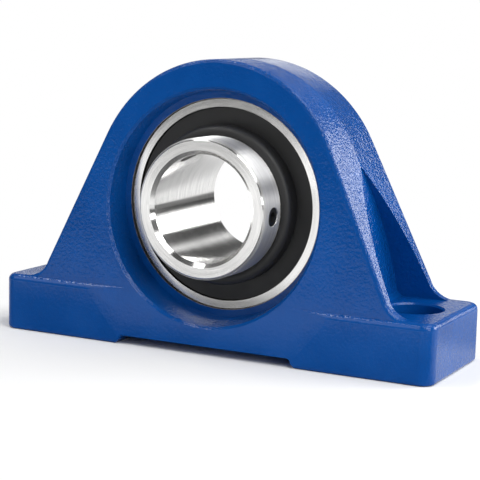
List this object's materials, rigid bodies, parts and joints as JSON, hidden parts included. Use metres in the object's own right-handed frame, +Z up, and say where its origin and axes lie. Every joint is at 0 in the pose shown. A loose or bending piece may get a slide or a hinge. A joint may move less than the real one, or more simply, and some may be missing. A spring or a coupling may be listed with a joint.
{
  "type": "pillow block bearing",
  "caption": "Cast pillow block on two bolt-down feet with a self-aligning ball bearing insert, whose extended inner ring grips a shaft with set screws.",
  "frame": {"origin": "on the base plane midway between the bolt holes, under the centre of the bearing", "axes": "+X along the base, -Y along the shaft out of the set screw side, +Z up"},
  "size_m": [0.156, 0.0486, 0.0948],
  "materials": {
    "casting": "gloss blue over cast iron",
    "ring_steel": "ground",
    "ball": "polished",
    "rubber": "matte",
    "slinger": "matte",
    "cage": "pressed sheet",
    "screw": "black oxide"
  },
  "bodies": {
    "housing": {"housing": "casting"},
    "insert": {"outer_ring": "ring_steel", "front_seal": "rubber", "rear_seal": "rubber"},
    "shaft_ring": {"inner_ring": "ring_steel", "front_slinger": "slinger", "rear_slinger": "slinger"},
    "cage": {"cage_front": "cage", "cage_rear": "cage", "cage_rivets": "cage"},
    "screw_1": {"set_screw_1": "screw"},
    "screw_2": {"set_screw_2": "screw"},
    "rolling_ball_1": {"ball_1": "ball"},
    "rolling_ball_2": {"ball_2": "ball"},
    "rolling_ball_3": {"ball_3": "ball"},
    "rolling_ball_4": {"ball_4": "ball"},
    "rolling_ball_5": {"ball_5": "ball"},
    "rolling_ball_6": {"ball_6": "ball"},
    "rolling_ball_7": {"ball_7": "ball"},
    "rolling_ball_8": {"ball_8": "ball"},
    "rolling_ball_9": {"ball_9": "ball"}
  },
  "joints": [
    {"name": "insert_tilt", "type": "hinge", "parent": "housing", "child": "insert", "pos_m": [0, 0, 0.0478], "axis": [1, 0, 0], "range_deg": [-2, 2]},
    {"name": "shaft_spin", "type": "hinge", "parent": "insert", "child": "shaft_ring", "pos_m": [0, 0, 0.0478], "axis": [0, -1, 0], "continuous": true},
    {"name": "cage_spin", "type": "hinge", "parent": "insert", "child": "cage", "pos_m": [0, 0, 0.0478], "axis": [0, -1, 0], "continuous": true},
    {"name": "ball_1_roll", "type": "hinge", "parent": "cage", "child": "rolling_ball_1", "pos_m": [0.02675, 0, 0.0478], "axis": [0, -1, 0], "continuous": true},
    {"name": "ball_2_roll", "type": "hinge", "parent": "cage", "child": "rolling_ball_2", "pos_m": [0.02049, 0, 0.06499], "axis": [0, -1, 0], "continuous": true},
    {"name": "ball_3_roll", "type": "hinge", "parent": "cage", "child": "rolling_ball_3", "pos_m": [0.00465, 0, 0.07414], "axis": [0, -1, 0], "continuous": true},
    {"name": "ball_4_roll", "type": "hinge", "parent": "cage", "child": "rolling_ball_4", "pos_m": [-0.01337, 0, 0.07097], "axis": [0, -1, 0], "continuous": true},
    {"name": "ball_5_roll", "type": "hinge", "parent": "cage", "child": "rolling_ball_5", "pos_m": [-0.02514, 0, 0.05695], "axis": [0, -1, 0], "continuous": true},
    {"name": "ball_6_roll", "type": "hinge", "parent": "cage", "child": "rolling_ball_6", "pos_m": [-0.02514, 0, 0.03865], "axis": [0, -1, 0], "continuous": true},
    {"name": "ball_7_roll", "type": "hinge", "parent": "cage", "child": "rolling_ball_7", "pos_m": [-0.01337, 0, 0.02463], "axis": [0, -1, 0], "continuous": true},
    {"name": "ball_8_roll", "type": "hinge", "parent": "cage", "child": "rolling_ball_8", "pos_m": [0.00465, 0, 0.02146], "axis": [0, -1, 0], "continuous": true},
    {"name": "ball_9_roll", "type": "hinge", "parent": "cage", "child": "rolling_ball_9", "pos_m": [0.02049, 0, 0.03061], "axis": [0, -1, 0], "continuous": true},
    {"name": "screw_1_travel", "type": "slide", "parent": "shaft_ring", "child": "screw_1", "axis": [0.9986, 0, -0.0523], "range_m": [-0.0003, 0.003]},
    {"name": "screw_2_travel", "type": "slide", "parent": "shaft_ring", "child": "screw_2", "axis": [-0.454, 0, 0.891], "range_m": [-0.0003, 0.003]}
  ],
  "couplings": [
    {"joint": "cage_spin", "follows": "shaft_spin", "ratio": 0.39626},
    {"joint": "ball_1_roll", "follows": "shaft_spin", "ratio": -2.3062},
    {"joint": "ball_2_roll", "follows": "shaft_spin", "ratio": -2.3062},
    {"joint": "ball_3_roll", "follows": "shaft_spin", "ratio": -2.3062},
    {"joint": "ball_4_roll", "follows": "shaft_spin", "ratio": -2.3062},
    {"joint": "ball_5_roll", "follows": "shaft_spin", "ratio": -2.3062},
    {"joint": "ball_6_roll", "follows": "shaft_spin", "ratio": -2.3062},
    {"joint": "ball_7_roll", "follows": "shaft_spin", "ratio": -2.3062},
    {"joint": "ball_8_roll", "follows": "shaft_spin", "ratio": -2.3062},
    {"joint": "ball_9_roll", "follows": "shaft_spin", "ratio": -2.3062}
  ]
}
